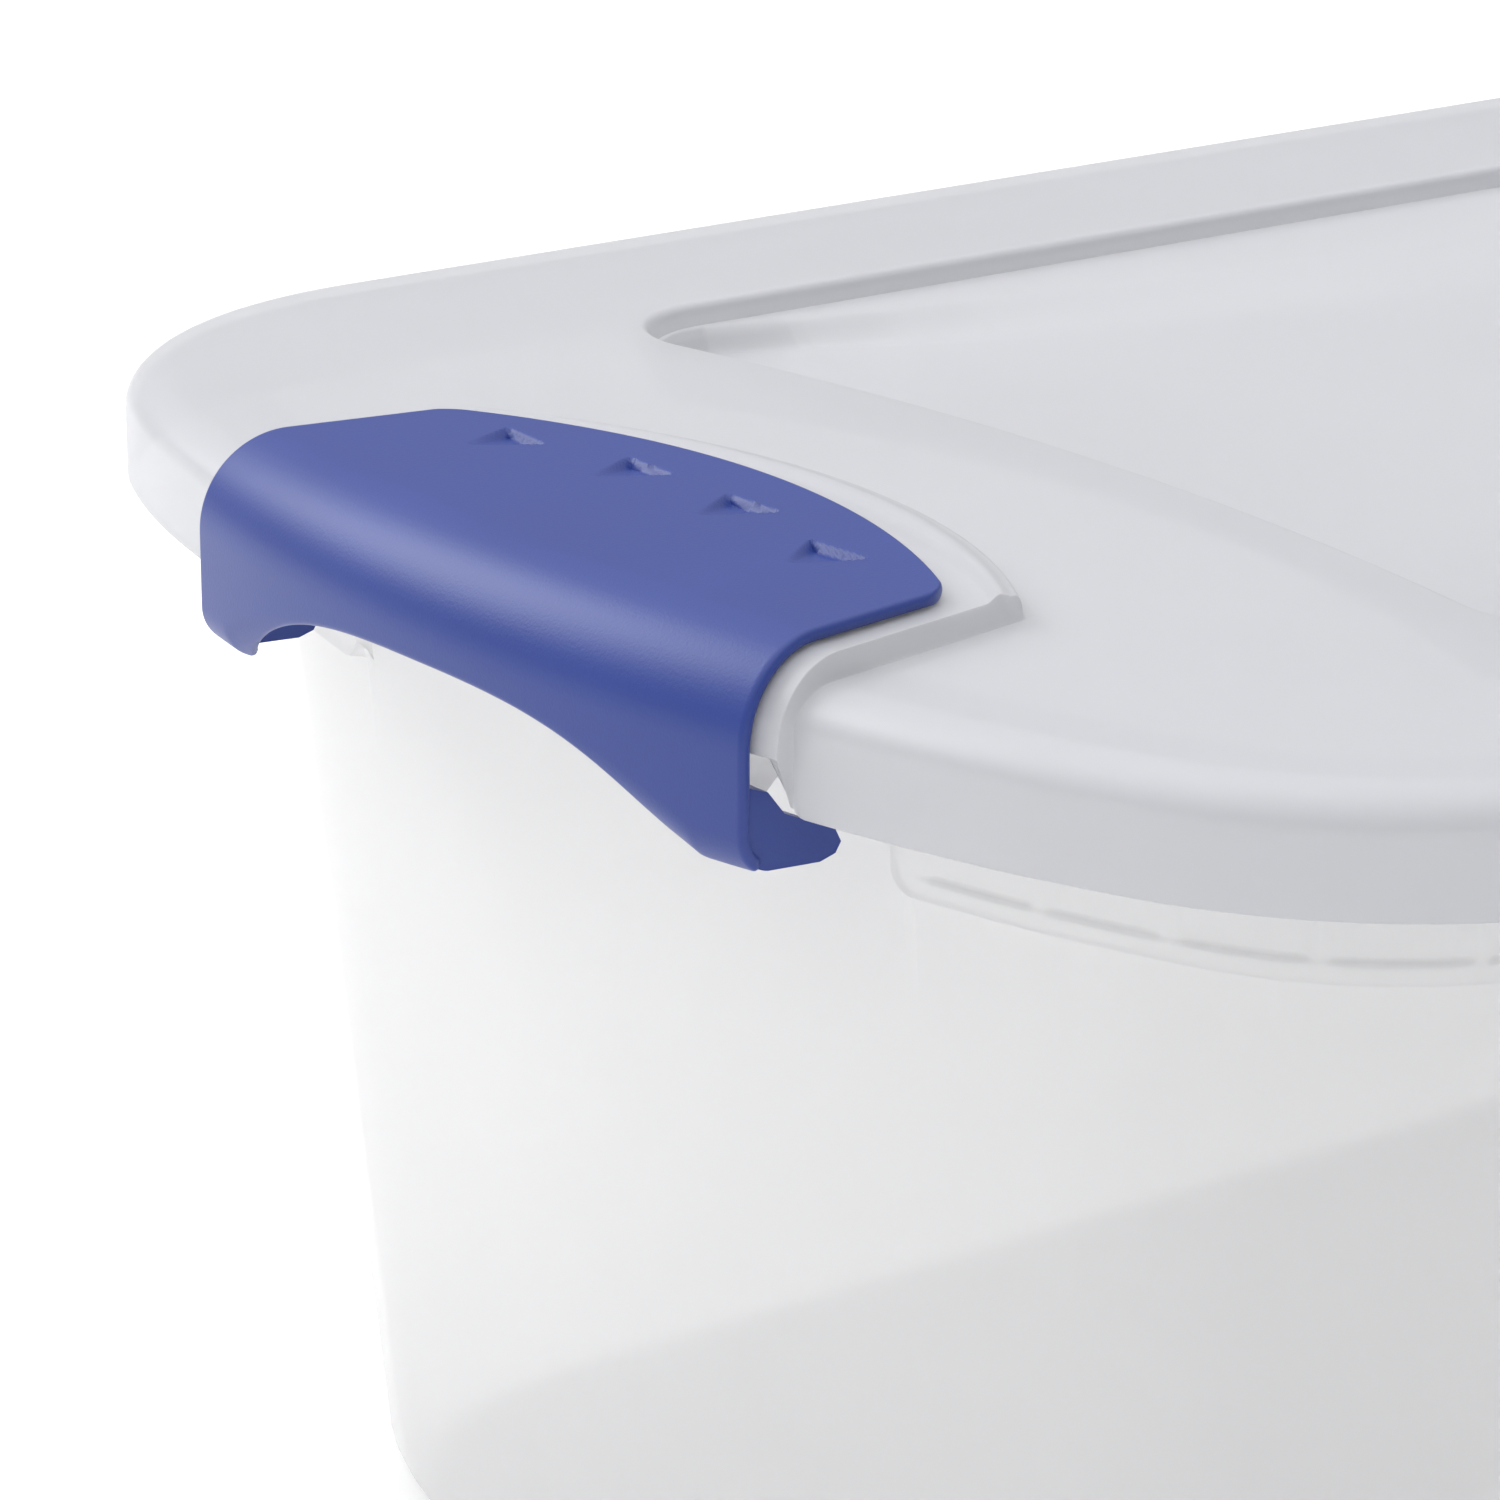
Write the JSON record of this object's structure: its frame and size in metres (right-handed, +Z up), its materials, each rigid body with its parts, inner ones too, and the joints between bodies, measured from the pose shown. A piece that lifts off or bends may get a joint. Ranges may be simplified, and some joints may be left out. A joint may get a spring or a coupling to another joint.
{
  "type": "under bed box",
  "caption": "Deep under-bed storage box: a tapered clear tub, a frosted recessed lid with a rounded rim, and a hinged latch at each end that clamps the lid down.",
  "frame": {"origin": "middle of the tub's underside, on the surface it stands on", "axes": "+X along the box's length, +Z up, +Y across the box"},
  "size_m": [0.773, 0.36, 0.212],
  "materials": {
    "clear_polypropylene": "milky clear, smooth",
    "frosted_polypropylene": "frosted, satin",
    "blue_polypropylene": "satin, fine grain"
  },
  "bodies": {
    "tub": {"tub": "clear_polypropylene"},
    "lid": {"lid": "frosted_polypropylene"},
    "latch_left": {"latch_left": "blue_polypropylene"},
    "latch_right": {"latch_right": "blue_polypropylene"}
  },
  "joints": [
    {"name": "lid_lift", "type": "slide", "parent": "tub", "child": "lid", "axis": [0, 0, 1], "range_m": [0, 0.0174]},
    {"name": "latch_left_hinge", "type": "hinge", "parent": "tub", "child": "latch_left", "pos_m": [-0.3742, 0, 0.183], "axis": [0, -1, 0], "range_deg": [0, 117]},
    {"name": "latch_right_hinge", "type": "hinge", "parent": "tub", "child": "latch_right", "pos_m": [0.3742, 0, 0.183], "axis": [0, 1, 0], "range_deg": [0, 117]}
  ],
  "couplings": [
    {"joint": "latch_left_hinge", "follows": "lid_lift", "rad_per_m": 117.2},
    {"joint": "latch_right_hinge", "follows": "lid_lift", "rad_per_m": 117.2}
  ]
}
